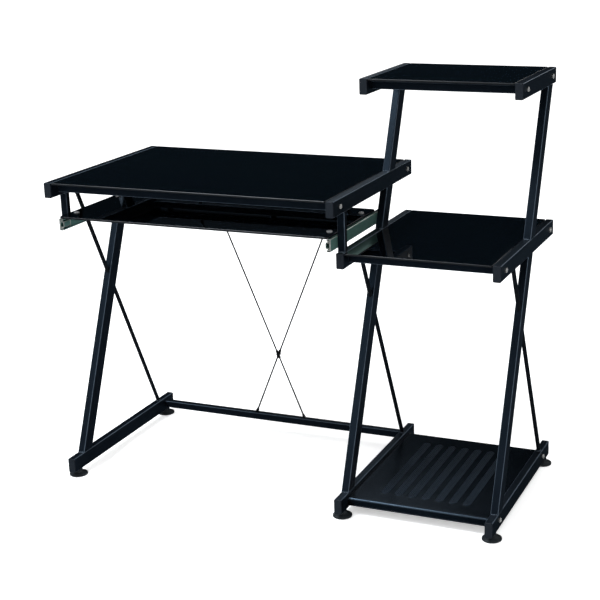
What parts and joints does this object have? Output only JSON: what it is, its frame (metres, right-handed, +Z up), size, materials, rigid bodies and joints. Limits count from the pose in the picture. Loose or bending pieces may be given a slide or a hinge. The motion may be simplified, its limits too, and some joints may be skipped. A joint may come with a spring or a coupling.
{
  "type": "computer desk",
  "caption": "Black steel and glass computer desk with a sliding keyboard tray and a side tower of open shelves.",
  "frame": {"origin": "on the floor, under the middle of the desk's overall box", "axes": "+X to the sitter's right, towards the shelf tower; +Y from the sitter to the rear; +Z up"},
  "size_m": [1.112, 0.494, 0.977],
  "materials": {
    "frame_steel": "satin black powder coat",
    "rod_steel": "satin black",
    "shelf_steel": "satin black powder coat on pressed sheet",
    "black_glass": "polished, opaque black",
    "cap_plastic": "fine matt texture",
    "clip_plastic": "matt",
    "foot_plastic": "matt",
    "pad_rubber": "matt",
    "bolt_steel": "dark nickel",
    "slide_zinc": "zinc plate with a faint green tint",
    "bright_chrome": "polished"
  },
  "bodies": {
    "frame": {"bottom_shelf": "shelf_steel", "cross_rail_inserts": "clip_plastic", "desk_front_rail": "frame_steel", "desk_glass": "black_glass", "desk_rear_rail": "frame_steel", "frame_bolts": "bolt_steel", "frame_nuts": "bolt_steel", "glass_pads": "pad_rubber", "left_brace": "frame_steel", "left_cross_rod": "rod_steel", "left_desk_rail": "frame_steel", "left_foot_rail": "frame_steel", "left_leg": "frame_steel", "left_slide_outer": "slide_zinc", "left_tray_post": "frame_steel", "middle_brace": "frame_steel", "middle_desk_rail": "frame_steel", "middle_foot_rail": "frame_steel", "middle_leg_link": "frame_steel", "middle_lower_leg": "frame_steel", "middle_shelf_rail": "frame_steel", "middle_top_rail": "frame_steel", "middle_tray_post": "frame_steel", "middle_upper_leg": "frame_steel", "rail_end_caps": "cap_plastic", "rear_stretcher": "frame_steel", "right_brace": "frame_steel", "right_cross_rod": "rod_steel", "right_foot_rail": "frame_steel", "right_lower_leg": "frame_steel", "right_shelf_rail": "frame_steel", "right_slide_outer": "slide_zinc", "right_top_rail": "frame_steel", "right_upper_leg": "frame_steel", "rod_clip": "clip_plastic", "shelf_front_rail": "frame_steel", "shelf_glass": "black_glass", "shelf_rear_rail": "frame_steel", "slide_bumpers": "pad_rubber", "slide_screws": "slide_zinc", "top_front_rail": "frame_steel", "top_glass": "black_glass", "top_rear_rail": "frame_steel"},
    "keyboard_tray": {"tray_glass": "black_glass", "tray_bolts": "bright_chrome", "tray_nuts": "bolt_steel", "left_tray_bracket": "slide_zinc", "right_tray_bracket": "slide_zinc", "left_slide_inner": "slide_zinc", "right_slide_inner": "slide_zinc", "bracket_rivets": "slide_zinc"},
    "left_slide_carriage": {"left_slide_middle": "slide_zinc"},
    "right_slide_carriage": {"right_slide_middle": "slide_zinc"},
    "left_front_foot": {"left_front_foot": "foot_plastic"},
    "left_rear_foot": {"left_rear_foot": "foot_plastic"},
    "middle_front_foot": {"middle_front_foot": "foot_plastic"},
    "middle_rear_foot": {"middle_rear_foot": "foot_plastic"},
    "right_front_foot": {"right_front_foot": "foot_plastic"},
    "right_rear_foot": {"right_rear_foot": "foot_plastic"}
  },
  "joints": [
    {"name": "tray_slide", "type": "slide", "parent": "frame", "child": "keyboard_tray", "axis": [0, -1, 0], "range_m": [0, 0.25]},
    {"name": "left_carriage_slide", "type": "slide", "parent": "frame", "child": "left_slide_carriage", "axis": [0, -1, 0], "range_m": [0, 0.125]},
    {"name": "right_carriage_slide", "type": "slide", "parent": "frame", "child": "right_slide_carriage", "axis": [0, -1, 0], "range_m": [0, 0.125]},
    {"name": "left_front_foot_screw", "type": "slide", "parent": "frame", "child": "left_front_foot", "axis": [0, 0, -1], "range_m": [0, 0.01]},
    {"name": "left_rear_foot_screw", "type": "slide", "parent": "frame", "child": "left_rear_foot", "axis": [0, 0, -1], "range_m": [0, 0.01]},
    {"name": "middle_front_foot_screw", "type": "slide", "parent": "frame", "child": "middle_front_foot", "axis": [0, 0, -1], "range_m": [0, 0.01]},
    {"name": "middle_rear_foot_screw", "type": "slide", "parent": "frame", "child": "middle_rear_foot", "axis": [0, 0, -1], "range_m": [0, 0.01]},
    {"name": "right_front_foot_screw", "type": "slide", "parent": "frame", "child": "right_front_foot", "axis": [0, 0, -1], "range_m": [0, 0.01]},
    {"name": "right_rear_foot_screw", "type": "slide", "parent": "frame", "child": "right_rear_foot", "axis": [0, 0, -1], "range_m": [0, 0.01]}
  ],
  "couplings": [
    {"joint": "left_carriage_slide", "follows": "tray_slide", "ratio": 0.5},
    {"joint": "right_carriage_slide", "follows": "tray_slide", "ratio": 0.5}
  ]
}
